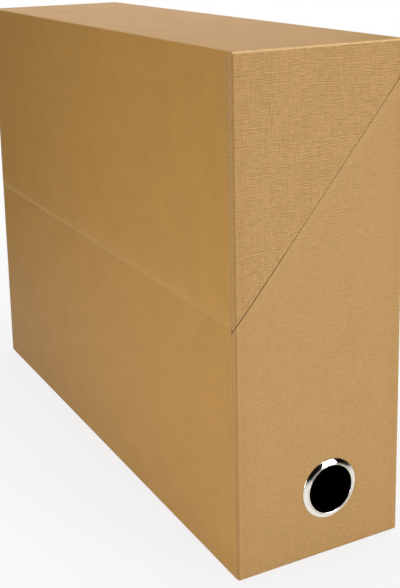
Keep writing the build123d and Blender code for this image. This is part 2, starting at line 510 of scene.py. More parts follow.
class Shade(Nodes):
    """Lays out and joins the nodes of one material."""

    def __init__(self, name: str) -> None:
        """Starts a material with a shader and its output.

        Args:
            name: Name of the material.
        """
        self.material = bpy.data.materials.new(name)
        self.material.use_nodes = True
        super().__init__(self.material.node_tree)
        self.shader = self.add("ShaderNodeBsdfPrincipled")
        self.output = self.add("ShaderNodeOutputMaterial", {"Surface": self.shader.outputs[0]})

    def value_of(self, name: str) -> Any:
        """The number that the mesh keeps under a name."""
        return self.add("ShaderNodeAttribute", attribute_name=name).outputs["Fac"]

    def place(self, lay: Lay) -> Any:
        """Adds the place that a pattern is laid by.

        Args:
            lay: Whether it is the place on the flat sheet, or in space for a solid.

        Returns:
            The output.
        """
        if lay is Lay.SHEET:
            return self.add("ShaderNodeAttribute", attribute_name="lay").outputs["Vector"]
        return self.add("ShaderNodeTexCoord").outputs["Object"]

    def stretched(self, place: Any, scale: tuple[float, float, float]) -> Any:
        """The place multiplied by a scale on each axis."""
        return self.add("ShaderNodeMapping", {"Vector": place, "Scale": scale}).outputs[0]

    def noise(self, place: Any, grain: Grain) -> Any:
        """Adds a noise.

        Args:
            place: The place.
            grain: How the noise is.

        Returns:
            The output, from 0 to 1.
        """
        if set(grain.stretch) != {1.0}:
            place = self.stretched(place, grain.stretch)
        inputs = {"Vector": place, "Scale": grain.cells, "Detail": grain.detail}
        inputs |= {"Roughness": grain.rough, "Distortion": grain.twist}
        return self.add("ShaderNodeTexNoise", inputs).outputs[0]

    def mixed(self, share: Any, first: Any, second: Any) -> Any:
        """A colour between two, by a share from 0 to 1."""
        inputs = {0: share, 6: opaque(first), 7: opaque(second)}
        return self.add("ShaderNodeMix", inputs, data_type="RGBA").outputs[2]

    def toned(self, tone: Any, colour: Colour, dark: float, pale: float) -> Any:
        """The colour from its dark share, where the tone is 0, to its pale share, where it is 1."""
        return self.mixed(tone, scaled(colour, dark), scaled(colour, pale))

    def relief(self, height: Any, depth: float, strength: float) -> None:
        """Raises the surface's shading by a height from 0 to 1 over a depth in metres."""
        inputs = {"Strength": strength, "Distance": depth, "Height": height}
        self.join(self.add("ShaderNodeBump", inputs).outputs[0], self.shader.inputs["Normal"])

    def surface(self, colour: Any, rough: Any, gloss: float = 0.5, metal: float = 0.0) -> bpy.types.Material:
        """Gives the shader its values.

        Args:
            colour: The colour, an output or three numbers.
            rough: The roughness, an output or a number.
            gloss: Strength of the mirrored light.
            metal: 1 for metal.

        Returns:
            The material.
        """
        values = {"Base Color": opaque(colour), "Roughness": rough}
        values |= {"Specular IOR Level": gloss, "Metallic": metal}
        for name, value in values.items():
            self.join(value, self.shader.inputs[name])
        return self.material


@dataclass(frozen=True)
class SmoothKraft:
    """Smooth kraft-coloured covering paper, faintly mottled, paler at worn edges and painted highlights,
    darker in painted shade.
    """

    name: str = "smooth_kraft_paper"
    colour: Colour = (0.495, 0.264, 0.066)
    wear_and_highlight_colour: Colour = (0.80, 0.56, 0.28)
    roughness: float = 0.52
    gloss: float = 0.15
    cloud: Grain = Grain(45.0, 3.0, 0.55)
    blotch: Grain = Grain(330.0, 3.0, 0.6)
    fibre: Grain = Grain(900.0, 4.0, 0.65, 0.6, (1.0, 2.6, 1.0))
    grain: Grain = Grain(2600.0, 3.0, 0.6)
    depth: float = 0.05 * MM

    def make(self) -> bpy.types.Material:
        """Builds the finish.

        Returns:
            The material.
        """
        shade = Shade(self.name)
        place = shade.place(Lay.SHEET)
        cloud, blotch = shade.noise(place, self.cloud), shade.noise(place, self.blotch)
        fibre, grain = shade.noise(place, self.fibre), shade.noise(place, self.grain)
        tone = shade.remap(shade.weighted((cloud, 0.35), (blotch, 0.4), (fibre, 0.25)), 0.32, 0.68)
        paper = shade.toned(tone, self.colour, 0.90, 1.10)
        # Darker where the mesh asks: painted shade along the foot of the fold's ridge.
        paper = shade.mixed(shade.value_of("bend"), paper, scaled(self.colour, 0.70))
        # Paler where the mesh asks: worn edges, and painted highlights on the fold's head and at the top's
        # two ends.
        wear_and_highlight = shade.product(shade.value_of("wear_and_highlight"), shade.remap(blotch, 0.3, 0.7, 0.6, 1.0))
        roughness = shade.remap(fibre, 0.3, 0.7, self.roughness - 0.05, self.roughness + 0.06)
        shade.relief(shade.weighted((fibre, 0.6), (grain, 0.4)), self.depth, 0.5)
        return shade.surface(shade.mixed(wear_and_highlight, paper, self.wear_and_highlight_colour), roughness, self.gloss)


@dataclass(frozen=True)
class LinenKraft:
    """Kraft-coloured covering paper embossed with crossing linen threads.

    The weft runs level and the warp stands upright. An emboss of 1 has the plain depth, the sway is in
    radians of a thread's wave, and patch_cells counts the patches to the metre where threads are strong.
    """

    name: str
    emboss: float
    colour: Colour = (0.50, 0.301, 0.121)
    wear_and_highlight_colour: Colour = (0.68, 0.45, 0.22)
    darkened: Colour = (0.42, 0.226, 0.076)
    roughness: float = 0.6
    gloss: float = 0.04
    weft_pitch: float = 1.0 * MM
    warp_pitch: float = 1.35 * MM
    depth: float = 0.12 * MM
    cloud: Grain = Grain(60.0, 3.0, 0.55)
    sway: float = 9.0
    patch_cells: float = 75.0

    def make(self) -> bpy.types.Material:
        """Builds the finish.

        Returns:
            The material.
        """
        shade = Shade(self.name)
        place = shade.place(Lay.SHEET)
        weft = self.threads(shade, place, self.weft_pitch, upright=False)
        warp = self.threads(shade, place, self.warp_pitch, upright=True)
        height = shade.remap(shade.weighted((weft, 0.74), (warp, 0.34)), -0.75, 0.75)
        cloud = shade.noise(place, self.cloud)
        tone = shade.remap(shade.weighted((height, 0.85), (cloud, 0.15)), 0.15, 0.85)
        contrast = 0.18 * self.emboss
        paper = shade.toned(tone, self.colour, 1 - contrast, 1 + contrast)
        # Darker where the mesh asks: painted shade round both upright corners, and darker along the laps and
        # towards each arris.
        paper = shade.mixed(shade.value_of("bend"), paper, self.darkened)
        paper = shade.mixed(shade.value_of("wear_and_highlight"), paper, self.wear_and_highlight_colour)
        roughness = shade.remap(height, 0.2, 0.8, self.roughness + 0.08, self.roughness - 0.08)
        shade.relief(height, self.depth * self.emboss, 0.9)
        return shade.surface(paper, roughness, self.gloss)

    def threads(self, shade: Shade, place: Any, pitch: float, upright: bool) -> Any:
        """Height of one set of threads, strong in dashes and faint between them.

        Args:
            shade: The material being laid out.
            place: Place on the flat sheet.
            pitch: Distance from thread to thread.
            upright: True for the threads that stand upright.

        Returns:
            The output that gives the height, from -1 to 1.
        """

        def streaks(along: float, across: float, cells: float = 1.0 / pitch, **layers: float) -> Any:
            """A noise stretched along the threads, by what multiplies the place along and across them."""
            stretch = (across, along, 1.0) if upright else (along, across, 1.0)
            return shade.noise(place, Grain(cells, stretch=stretch, **layers))

        across = shade.add("ShaderNodeSeparateXYZ", {0: place}).outputs["X" if upright else "Y"]
        phase = shade.weighted((across, 2 * math.pi / pitch), (streaks(0.07, 0.35), self.sway))
        dashes = shade.remap(streaks(0.13, 0.9, detail=2.0, rough=0.55), 0.38, 0.66, 0.12, 1.0)
        patches = shade.remap(streaks(0.7, 1.3, self.patch_cells), 0.35, 0.65, 0.45, 1.0)
        slubs = shade.remap(streaks(0.3, 2.2), 0.3, 0.7, -0.35, 0.35)
        lines = shade.product(shade.worked("SINE", phase), shade.product(dashes, patches))
        return shade.worked("ADD", lines, slubs)


@dataclass(frozen=True)
class PaperCore:
    """The pale fibres that show where covering paper is cut."""

    name: str = "cut_paper_edge"
    colour: Colour = (0.58, 0.37, 0.17)
    roughness: float = 0.8
    fibre: Grain = Grain(1800.0, 4.0, 0.7)
    depth: float = 0.05 * MM

    def make(self) -> bpy.types.Material:
        """Builds the finish.

        Returns:
            The material.
        """
        shade = Shade(self.name)
        fibre = shade.noise(shade.place(Lay.SOLID), self.fibre)
        shade.relief(fibre, self.depth, 0.6)
        return shade.surface(shade.toned(fibre, self.colour, 0.8, 1.15), self.roughness)


@dataclass(frozen=True)
class LiningPaper:
    """Near-black lining paper with a fine felt grain."""

    name: str = "dark_lining_paper"
    lay: Lay = Lay.SOLID
    colour: Colour = (0.0125, 0.0115, 0.0105)
    roughness: float = 0.68
    felt: Grain = Grain(700.0, 4.0, 0.65, 0.4)
    cloud: Grain = Grain(30.0, 3.0)
    depth: float = 0.06 * MM

    def make(self) -> bpy.types.Material:
        """Builds the finish.

        Returns:
            The material.
        """
        shade = Shade(self.name)
        place = shade.place(self.lay)
        felt, cloud = shade.noise(place, self.felt), shade.noise(place, self.cloud)
        paper = shade.toned(shade.weighted((felt, 0.6), (cloud, 0.4)), self.colour, 0.6, 1.5)
        shade.relief(felt, self.depth, 0.6)
        return shade.surface(paper, shade.remap(felt, 0.3, 0.7, self.roughness - 0.06, self.roughness + 0.08))


@dataclass(frozen=True)
class Greyboard:
    """Grey-brown pulp board with flecks, darkened near the cut by painted shade that fades out between two
    distances of the cut.
    """

    name: str = "greyboard"
    colour: Colour = (0.30, 0.27, 0.225)
    gap_shade: Colour = (0.110, 0.050, 0.014)
    gap_shade_reach: Point2 = (2.2 * MM, 4.5 * MM)
    roughness: float = 0.88
    pulp: Grain = Grain(420.0, 5.0, 0.7, 0.8)
    fleck: Grain = Grain(1500.0, 2.0)
    depth: float = 0.1 * MM

    def make(self) -> bpy.types.Material:
        """Builds the finish.

        Returns:
            The material.
        """
        shade = Shade(self.name)
        place = shade.place(Lay.SOLID)
        pulp, fleck = shade.noise(place, self.pulp), shade.noise(place, self.fleck)
        board = shade.toned(pulp, self.colour, 0.75, 1.25)
        board = shade.mixed(shade.remap(fleck, 0.62, 0.7, 0.0, 0.5), board, scaled(self.colour, 0.4))
        # Painted shade on the board near the lid's cut, which shows dark through the gap and the linen's
        # slit.
        normal = BOX.fold_normal()
        above = shade.add("ShaderNodeVectorMath", {0: place, 1: normal}, operation="DOT_PRODUCT")
        past_cut = shade.worked("SUBTRACT", above.outputs["Value"], normal.dot(BOX.fold_point()))
        in_gap_shade = shade.remap(shade.worked("ABSOLUTE", past_cut), *self.gap_shade_reach, 1.0, 0.0)
        shade.relief(pulp, self.depth, 0.6)
        return shade.surface(shade.mixed(in_gap_shade, board, self.gap_shade), self.roughness)


@dataclass(frozen=True)
class PlatedSteel:
    """Plated steel, from bright chrome to dull nickel, rougher where it is smeared."""

    name: str
    colour: Colour
    roughness: float
    smeared: float
    smear: Grain = Grain(350.0, 3.0, 0.6)
    hairline: Grain = Grain(900.0, 3.0, 0.6, stretch=(1.0, 9.0, 1.0))
    depth: float = 0.004 * MM

    def make(self) -> bpy.types.Material:
        """Builds the finish.

        Returns:
            The material.
        """
        shade = Shade(self.name)
        place = shade.place(Lay.SOLID)
        smear, hairline = shade.noise(place, self.smear), shade.noise(place, self.hairline)
        roughness = shade.remap(smear, 0.35, 0.75, self.roughness, self.roughness + self.smeared)
        shade.relief(hairline, self.depth, 0.3)
        return shade.surface(shade.toned(smear, self.colour, 0.96, 1.03), roughness, metal=1.0)


class Finishes:
    """Every finish of the box, each made once."""

    def __init__(self) -> None:
        """Makes the materials."""
        self.smooth = SmoothKraft().make()
        self.base_linen = LinenKraft("linen_kraft_base", emboss=0.95).make()
        self.lid_linen = LinenKraft("linen_kraft_lid", emboss=1.75).make()
        self.core = PaperCore().make()
        self.lining = LiningPaper().make()
        self.lining_sheet = LiningPaper("dark_hinge_paper", Lay.SHEET).make()
        self.board = Greyboard().make()
        self.chrome = PlatedSteel("bright_chrome", (0.86, 0.82, 0.75), 0.035, 0.04).make()
        self.nickel = PlatedSteel("dull_nickel", (0.62, 0.60, 0.56), 0.26, 0.12).make()


# Papers


@dataclass
class LengthwisePaper:
    """A covering paper drawn once across the box and run along it.

    Points lie at edge_steps from each end, which is rubbed pale by up to edge_rub. The rubbing is gone at
    the first distance in rub_reach and full at the second.
    """

    name: str
    thickness: float = 0.2 * MM
    edge_steps: tuple[float, ...] = tuple(e * MM for e in (0.0, 0.15, 0.3, 0.45, 0.6, 0.75, 0.9, 1.2, 2.5))
    step: float = 7.0 * MM
    edge_rub: float = 0.2
    rub_reach: Point2 = (1.12 * MM, 0.32 * MM)

    def outline(self) -> np.ndarray:
        """Outer line across the box, as rows of X and Z."""
        raise NotImplementedError

    def reach(self, x: float, z: float, end: End) -> float:
        """How far the paper reaches along Y.

        Args:
            x: Place on the outline, across the box.
            z: Its height.
            end: The end towards which it reaches.

        Returns:
            The distance from the middle of the box.
        """
        raise NotImplementedError

    def shaped(self, points: np.ndarray) -> np.ndarray:
        """The points after the paper's own swells and turned ends."""
        return points

    def wear_and_painted_light(self, points: np.ndarray, gap: np.ndarray, share: np.ndarray) -> tuple[np.ndarray, np.ndarray]:
        """How the paper is worn, and where highlight and shade are painted on it.

        Args:
            points: The points before they are shaped.
            gap: Distance of each from the nearer end of its row.
            share: Its place along the row, from 0 by the spine to 1 by the rear.

        Returns:
            How far each point is paled, by wear and painted highlight, and how far it is darkened by painted
            shade, from 0 to 1.
        """
        return self.edge_rub * ramp(gap, *self.rub_reach), np.zeros_like(gap)

    def sheet(self) -> Sheet:
        """Lays the paper's points out.

        Returns:
            The sheet.
        """
        line = self.outline()
        low = np.array([[-self.reach(x, z, End.SPINE)] for x, z in line])
        high = np.array([[self.reach(x, z, End.REAR)] for x, z in line])
        edge = np.array(self.edge_steps)
        longest = spread(low.min(), high.max(), self.step, self.edge_steps)
        between = longest[len(edge) - 1 : len(longest) - len(edge) + 1]
        shares = (between[1:-1] - between[0]) / (between[-1] - between[0])
        near, far = low + edge, high - edge[::-1]
        places = np.hstack((near, near[:, -1:] + shares * (far[:, :1] - near[:, -1:]), far))
        rows = (np.broadcast_to(v[:, None], places.shape) for v in (*line.T, arc_lengths(line)))
        x, z, along = rows
        points = np.stack((x, places, z), axis=-1)
        gap, share = np.minimum(places - low, high - places), (places - low) / (high - low)
        wear_and_highlight, bend = self.wear_and_painted_light(points, gap, share)
        lay = np.stack((places, along), axis=-1)
        return Sheet(self.name, self.shaped(points), lay, wear_and_highlight, bend, self.thickness)


@dataclass
class WrapPaper(LengthwisePaper):
    """The smooth sheet over the hinge side, the fold, the top and the rim, in one piece.

    The ridge along the fold rises between the two heights of its foot and falls between those of its head,
    lower towards both ends and wavering by waves of a share, radians to the metre and a phase. Its head has
    a painted highlight and its foot painted shade, both weaker towards the spine. The top's short edges
    stand proud of the ends and run out over turn_from down the sides and turn_to across the top, with a
    painted highlight along the top's arris at both ends.
    """

    name: str = "kraft_wrap"
    arris: float = 0.9 * MM
    end_round: float = 0.85 * MM
    end_proud: float = 0.1 * MM
    arris_highlight_reach: Point2 = (1.02 * MM, 0.42 * MM)
    fold_zone: Point2 = (124.8 * MM, 130.4 * MM)
    fold_rise: float = 0.50 * MM
    fold_foot: Point2 = (125.4 * MM, 126.4 * MM)
    fold_head: Point2 = (128.4 * MM, 129.8 * MM)
    fold_waves: tuple[tuple[float, float, float], ...] = ((0.10, 37.0, 1.0), (0.07, 91.0, 0.0))
    fold_ends: Point2 = (3.0 * MM, 9.0 * MM)
    fold_least: float = 0.35
    fold_at_spine: float = 0.6
    head_highlight: float = 0.40
    head_reach: float = 1.6 * MM
    foot_shade: float = 0.82
    foot_reach: float = 1.0 * MM
    paint_at_spine: float = 0.45
    top_band: float = 0.2 * MM
    turn_from: float = 2.4 * MM
    turn_to: float = 0.4 * MM

    def outline(self) -> np.ndarray:
        """Outer line from under the base, up the hinge side, over the top and round the rim.

        Returns:
            Its points, as rows of X and Z.
        """
        b = BOX
        turn_z = b.height - self.turn_from
        lip_z = b.cut(b.lip_x) + b.rim_gap
        corners = [
            (-b.half_width + b.turn_under, b.under_z),
            (-b.half_width, b.under_z),
            *((-b.half_width, z) for z in (*self.fold_zone, turn_z, b.height)),
            (b.half_width, b.height),
            (b.half_width, turn_z),
            (b.half_width, b.cut(b.half_width) + b.rim_gap),
            (b.lip_x, lip_z),
            (b.lip_x, lip_z + b.turn_in),
        ]
        radii = [b.bottom_round, 0, 0, 0, self.arris, self.arris, 0, 0.25 * MM, 0.12 * MM]
        steps = [5 * MM, 8 * MM, 0.14 * MM, 8 * MM, 0.5 * MM, 6 * MM, 0.5 * MM, 4 * MM, 1 * MM, 2 * MM]
        return rounded_path(corners, radii, steps)

    def reach(self, x: float, z: float, end: End) -> float:
        """Reach towards one end: a skew edge on the hinge side, the whole top, and cut back elsewhere.

        Args:
            x: Place on the outline, across the box.
            z: Its height.
            end: The end towards which it reaches.

        Returns:
            The distance from the middle of the box.
        """
        b = BOX
        side = b.half_length - (b.smooth_inset if x > 0 else b.seam(z, end))
        if b.is_under(z):
            return side - max(0.0, x + b.half_width)
        past_arris = b.half_width - abs(x) if b.height - z < self.top_band else z - b.height
        share = ramp(past_arris, -self.turn_from, self.turn_to)
        return side + share * (b.half_length + self.end_proud - side)

    def wear_and_painted_light(self, points: np.ndarray, gap: np.ndarray, share: np.ndarray) -> tuple[np.ndarray, np.ndarray]:
        """Worn pale at the ends, with painted highlights over the top's two ends and the fold's head, and
        painted shade along its foot.

        Args:
            points: The points before they are shaped.
            gap: Distance of each from the nearer end of its row.
            share: Its place along the row, from 0 by the spine to 1 by the rear.

        Returns:
            How far each point is paled, by wear and painted highlight, and how far it is darkened by painted
            shade, from 0 to 1.
        """
        b = BOX
        x, z = points[..., 0], points[..., 2]
        # Painted highlight along the top's arris at both ends.
        at_ends = ramp(z, b.height - self.arris, b.height) * ramp(gap, *self.arris_highlight_reach)
        on_fold = self.on_hinge_side(x) * (self.paint_at_spine + (1 - self.paint_at_spine) * share)
        # Painted highlight along the head of the fold's ridge and painted shade along its foot, weaker
        # towards the spine.
        highlight = self.head_highlight * ramp(np.abs(z - sum(self.fold_head) / 2), self.head_reach, 0.0)
        shaded_foot = self.foot_shade * ramp(np.abs(z - sum(self.fold_foot) / 2), self.foot_reach, 0.0)
        wear_and_highlight = super().wear_and_painted_light(points, gap, share)[0]
        return np.maximum.reduce((wear_and_highlight, at_ends, highlight * on_fold)), shaded_foot * on_fold

    def shaped(self, points: np.ndarray) -> np.ndarray:
        """Raises the fold's ridge, and turns the top's two ends down over the arris.

        Args:
            points: The points, which are changed.

        Returns:
            The same points.
        """
        b = BOX
        x, y, z = points[..., 0], points[..., 1], points[..., 2]
        raised = eased(z, *self.fold_foot) - eased(z, *self.fold_head)
        waver = 1.0 + sum(share * np.sin(y * turns + phase) for share, turns, phase in self.fold_waves)
        at_ends = ramp(b.half_length - np.abs(y), *self.fold_ends)
        fade = np.maximum(at_ends, self.fold_least)
        fade *= np.interp(y, (-b.half_length, b.half_length), (self.fold_at_spine, 1.0))
        x -= self.on_hinge_side(x) * self.fold_rise * raised * waver * fade
        over = np.clip(np.abs(y) - (b.half_length + self.end_proud - self.end_round), 0, self.end_round)
        drop = self.end_round - np.sqrt(self.end_round**2 - over**2)
        z -= drop * ramp(z, b.height - self.arris, b.height)
        return points

    @staticmethod
    def on_hinge_side(x: np.ndarray) -> np.ndarray:
        """True where a point lies on the hinge side's face."""
        return x < ON_FACE - BOX.half_width


@dataclass
class OpeningPaper(LengthwisePaper):
    """The smooth sheet on the base's opening side, turned in over its top edge and under the floor."""

    name: str = "opening_side_paper"

    def outline(self) -> np.ndarray:
        """Outer line from the lip inside, over the edge, down the face and under the base.

        Returns:
            Its points, as rows of X and Z.
        """
        b = BOX
        lip_z = b.cut(b.lip_x) - b.rim_gap
        corners = [
            (b.lip_x, lip_z - b.turn_in),
            (b.lip_x, lip_z),
            (b.half_width, b.cut(b.half_width) - b.rim_gap),
            (b.half_width, b.under_z),
            (b.half_width - b.turn_under, b.under_z),
        ]
        return rounded_path(corners, [0.2 * MM, 0.25 * MM, b.bottom_round], [2 * MM, 1 * MM, 8 * MM, 5 * MM])

    def reach(self, x: float, z: float, end: End) -> float:
        """Reach towards one end, cut back at a slant under the floor."""
        slant = max(0.0, BOX.half_width - x) if BOX.is_under(z) else 0.0
        return BOX.half_length - BOX.smooth_inset - slant


@dataclass
class HingeStrip(LengthwisePaper):
    """The dark strip that lines the fold inside, one leaf on the lid and one on the base.

    Each leaf is bent at half_gap from the cut, and tucked into the fold up to tuck_depth from outside.
    """

    name: str = "hinge_strip"
    leaf: float = 14.0 * MM
    half_gap: float = 0.3 * MM
    tuck_depth: float = 0.55 * MM
    tuck_half: float = 0.2 * MM
    end_gap: float = 0.4 * MM

    def outline(self) -> np.ndarray:
        """Inner line down the lid's leaf, into the fold and down the base's leaf.

        Returns:
            Its points, as rows of X and Z.
        """
        b = BOX
        wall, tuck = -b.lip_x, self.tuck_depth - b.half_width
        corners = [
            (wall, b.cut(wall) + self.half_gap + self.leaf),
            (wall, b.cut(wall) + self.half_gap),
            (tuck, b.cut(tuck) + self.tuck_half),
            (tuck, b.cut(tuck) - self.tuck_half),
            (wall, b.cut(wall) - self.half_gap),
            (wall, b.cut(wall) - self.half_gap - self.leaf),
        ]
        radii = [0.15 * MM, 0.12 * MM, 0.12 * MM, 0.25 * MM]
        return rounded_path(corners, radii, [3 * MM, 0.6 * MM, 0.08 * MM, 0.6 * MM, 3 * MM])

    def reach(self, x: float, z: float, end: End) -> float:
        """The whole length between the ends' linings."""
        return BOX.inside_y - self.end_gap


@dataclass
class FloorPaper:
    """The smooth sheet under the floor, laid over the turned-under margins."""

    name: str = "floor_paper"
    thickness: float = 0.114 * MM
    inset: float = 5.0 * MM
    step: float = 8.0 * MM
    edge_steps: tuple[float, ...] = (0.0, 0.5 * MM, 3.0 * MM)
    edge_rub: float = 0.6
    rub_reach: float = 0.6 * MM

    def sheet(self) -> Sheet:
        """Lays the paper's points out, with its underside on the ground.

        Returns:
            The sheet.
        """
        halves = BOX.half_width - self.inset, BOX.half_length - self.inset
        lines = (spread(-half, half, self.step, self.edge_steps) for half in halves)
        lay = np.stack(np.meshgrid(*lines, indexing="ij"), axis=-1)
        points = np.concatenate((lay, np.zeros((*lay.shape[:2], 1))), axis=-1)
        wear_and_highlight = self.edge_rub * ramp((halves - np.abs(lay)).min(axis=-1), self.rub_reach, 0.0)
        return Sheet(self.name, points, lay, wear_and_highlight, np.zeros_like(wear_and_highlight), self.thickness, flip=True)


@dataclass(frozen=True)
class Station:
    """A place on a line seen from above, its outward direction, and how far the paper is darkened there."""

    x: float
    y: float
    out_x: float
    out_y: float
    bend: float

    def inward(self, distance: float, z: float) -> Vector:
        """The point at a height that lies a distance inwards."""
        return Vector((self.x - self.out_x * distance, self.y - self.out_y * distance, z))

    def mirrored(self) -> Station:
        """The same place on the box's other side."""
        return Station(-self.x, self.y, -self.out_x, self.out_y, self.bend)


@dataclass
class EndLinen:
    """Linen paper on one end of the base or the lid, round both corners and turned over the cut.

    The lap runs on under the smooth sheets. The base's rows of points run level up to level_top, and slant
    from there to the slit, the cut in the linen. The slit falls by slit_fall for each metre round the hinge
    side's corner, and lies slit_lift above the board's cut there, which dies away in lift_reach. The cap is
    turned over the board's edge and the lip in behind the board, and both stop under the hinge strip. Their
    shares run from 0 at the edge to 1 inside, and edge_rub goes from the face inwards.
    """

    part: Part
    end: End
    thickness: float = 0.1 * MM
    edge_round: float = 0.5 * MM
    edge_rub: tuple[float, ...] = (0.12, 0.2, 0.28, 0.25, 0.2, 0.15)
    lap: float = 9.0 * MM
    lap_under: float = 0.7 * MM
    lap_darkening: float = 0.3
    arris_darkening: float = 0.3
    arris_reach: float = 12.0 * MM
    top_gap: float = 0.5 * MM
    corner_rise: float = 0.08 * MM
    level_top: float = 100.0 * MM
    slit_fall: float = 1.05
    slit_lift: float = 0.8 * MM
    lift_reach: float = 22.0 * MM
    crease_least: float = 0.5 * MM
    crease_half: float = 0.06 * MM
    crease_clear: float = 1.0 * MM
    cap_gap: float = 0.33 * MM
    cap_shares: tuple[float, ...] = (0.33, 0.66, 1.0)
    lip_shares: tuple[float, ...] = (0.05, 0.35, 0.7, 1.0)
    strip_stop: float = 0.9 * MM
    pattern_shift: float = 0.5
    level_rows: int = 25
    slanted_rows: int = 11
    lid_rows: int = 28
    round_rows: int = 6
    side_columns: int = 10
    corner_columns: int = 8
    face_columns: int = 39
    hole_margin: float = 5.0 * MM

    @property
    def name(self) -> str:
        """Name of the piece."""
        return f"{self.part.value}_{self.end.name.lower()}_linen_paper"

    def plan(self) -> list[Station]:
        """Line round the end from the hinge side to the opening side, as drawn for the spine.

        Returns:
            Its places, in order.
        """
        b = BOX
        side_x = b.half_width - b.linen_recess
        centre_x, centre_y = b.half_width - b.corner, b.half_length - b.corner
        lap_places = np.linspace(self.lap - b.half_length, -centre_y, self.side_columns)
        # The lap is made darker.
        side = [Station(-side_x, y, -1.0, 0.0, self.lap_darkening) for y in lap_places]
        for a in np.linspace(0, QUARTER, self.corner_columns + 1)[1:]:
            c, s = math.cos(a), math.sin(a)
            # Painted shade round the upright corner, darkest halfway round, over the darker lap.
            bend = max(self.lap_darkening * c, math.sin(2 * a))
            side.append(Station(-centre_x - (side_x - centre_x) * c, -centre_y - b.corner * s, -c, -s, bend))
        face = []
        for x in np.linspace(-centre_x, centre_x, self.face_columns + 2)[1:-1]:
            # Darker towards each upright arris.
            bend = self.arris_darkening * ramp(abs(x), centre_x - self.arris_reach, centre_x) ** 2
            face.append(Station(x, -b.half_length, 0.0, -1.0, bend))
        return [*side, *face, *(at.mirrored() for at in reversed(side))]

    def slit(self, x: float, y: float) -> float:
        """Height of the cut at a place, eased round the hinge side's corner down to the fold.

        Args:
            x: Place across the box.
            y: Place along the box.

        Returns:
            The height.
        """
        b = BOX
        corner_x, corner_y = b.corner - b.half_width, b.half_length - b.corner
        lift = self.slit_lift * ramp(x + b.half_width, self.lift_reach, 0.0) ** 2
        if x > corner_x:
            return b.cut(x) + lift
        turn = math.atan2(corner_x - x, max(abs(y) - corner_y, 0.0))
        past = b.corner * turn + max(corner_y - abs(y), 0.0)
        notch = b.corner * QUARTER + corner_y - (b.half_length - b.seam(b.fold_height, self.end))
        return b.cut(corner_x) + lift - self.slit_fall * min(past, notch)

    def over_cut(self, at: Station) -> tuple[list[Vector], list[Vector]]:
        """The points over the board's cut edge at a place on the plan.

        Args:
            at: The place.

        Returns:
            The points round the edge from the face inwards, and those turned over and in behind the board.
        """
        b = BOX
        outward = 1.0 if self.part is Part.BASE else -1.0
        edge = []
        for a in np.linspace(0, QUARTER, self.round_rows):
            point = at.inward(self.edge_round * (1 - math.cos(a)), 0.0)
            below = b.half_gap(at.x) + self.edge_round * (1 - math.sin(a))
            point.z = self.slit(point.x, point.y) - outward * below
            edge.append(point)
        inner = Vector((min(max(at.x, -b.inside_x), b.inside_x), max(at.y, -b.inside_y), 0.0))
        cap = [edge[-1].lerp(inner, share) for share in self.cap_shares]
        for point in cap:
            point.z = b.cut(point.x) - outward * self.cap_gap
        lip = [cap[-1] - Vector((0.0, 0.0, outward * b.turn_in * share)) for share in self.lip_shares]
        return edge, [*cap, *lip]

    def base_face(self, at: Station, top: float) -> list[Vector]:
        """The base's points from under the floor to the edge.

        Args:
            at: The place on the plan.
            top: Height of the edge's first row.

        Returns:
            The points, from the lowest.
        """
        b = BOX
        depth = self.lap_under
        if abs(at.y) > b.half_length - ON_FACE:
            depth = min(b.turn_under, max(depth, b.half_width - abs(at.x)))
        r = b.bottom_round
        under = [at.inward(r + (depth - r) * share, b.under_z) for share in (1.0, 0.5, 0.0)]
        arc = np.linspace(0, QUARTER, self.round_rows)[1:]
        turn = [at.inward(r * (1 - math.sin(a)), b.under_z + r * (1 - math.cos(a))) for a in arc]
        level = np.linspace(turn[-1].z, self.level_top, self.level_rows + 1)[1:]
        slanted = np.linspace(self.level_top, top, self.slanted_rows + 2)[1:-1]
        return [*under, *turn, *(at.inward(0.0, z) for z in (*level, *slanted))]

    def lid_face(self, at: Station, bottom: float) -> list[Vector]:
        """The lid's points from its top to the edge, with a crease where the board is cut.

        Args:
            at: The place on the plan.
            bottom: Height of the edge's first row.

        Returns:
            The points, from the highest.
        """
        b = BOX
        rise = self.corner_rise if abs(at.x) > b.half_width - b.corner else 0.0
        crease = max(b.cut(at.x), bottom + self.crease_least)
        face = np.linspace(b.height - self.top_gap + rise, crease + self.crease_clear, self.lid_rows)
        low = (crease + self.crease_half, crease - self.crease_half, 0.5 * (bottom + crease))
        return [at.inward(0.0, z) for z in (*face, *low)]

    def column(self, at: Station) -> tuple[list[Vector], list[float]]:
        """One column of points at a place on the plan.

        Args:
            at: The place.

        Returns:
            The points from the column's first row to its last, and how far each is rubbed.
        """
        edge, behind = self.over_cut(at)
        base = self.part is Part.BASE
        face = self.base_face(at, edge[0].z) if base else self.lid_face(at, edge[0].z)
        points = [*face, *edge, *behind]
        wear_and_highlight = [0.0] * len(face) + [*self.edge_rub] + [0.0] * len(behind)
        return (points, wear_and_highlight) if base else (points[::-1], wear_and_highlight[::-1])

    def sheet(self) -> Sheet:
        """Lays the linen's points out.

        Returns:
            The sheet.
        """
        plan = self.plan()
        columns, rubs = zip(*(self.column(at) for at in plan))
        points = np.array([[tuple(p) for p in column] for column in columns]).transpose(1, 0, 2)
        heights = np.cumsum(np.linalg.norm(np.diff(points, axis=0), axis=2), axis=0)
        up = np.vstack((np.zeros(len(plan)), heights))
        face = len(points) // 2
        up += points[face, :, 2] - up[face]
        if self.end is End.REAR:
            up += self.pattern_shift
            points[..., 1] *= -1
        along = np.broadcast_to(arc_lengths(np.array([(at.x, at.y) for at in plan])), up.shape)
        bend = np.broadcast_to([at.bend for at in plan], up.shape)
        hole = self.ring_hole(points) if (self.part, self.end) == (Part.BASE, End.SPINE) else None
        lay, wear_and_highlight, keep = np.stack((along, up), axis=-1), np.array(rubs).T, self.kept(plan, len(points))
        flip = self.end is End.SPINE
        return Sheet(self.name, points, lay, wear_and_highlight, bend, self.thickness, flip, hole, keep)

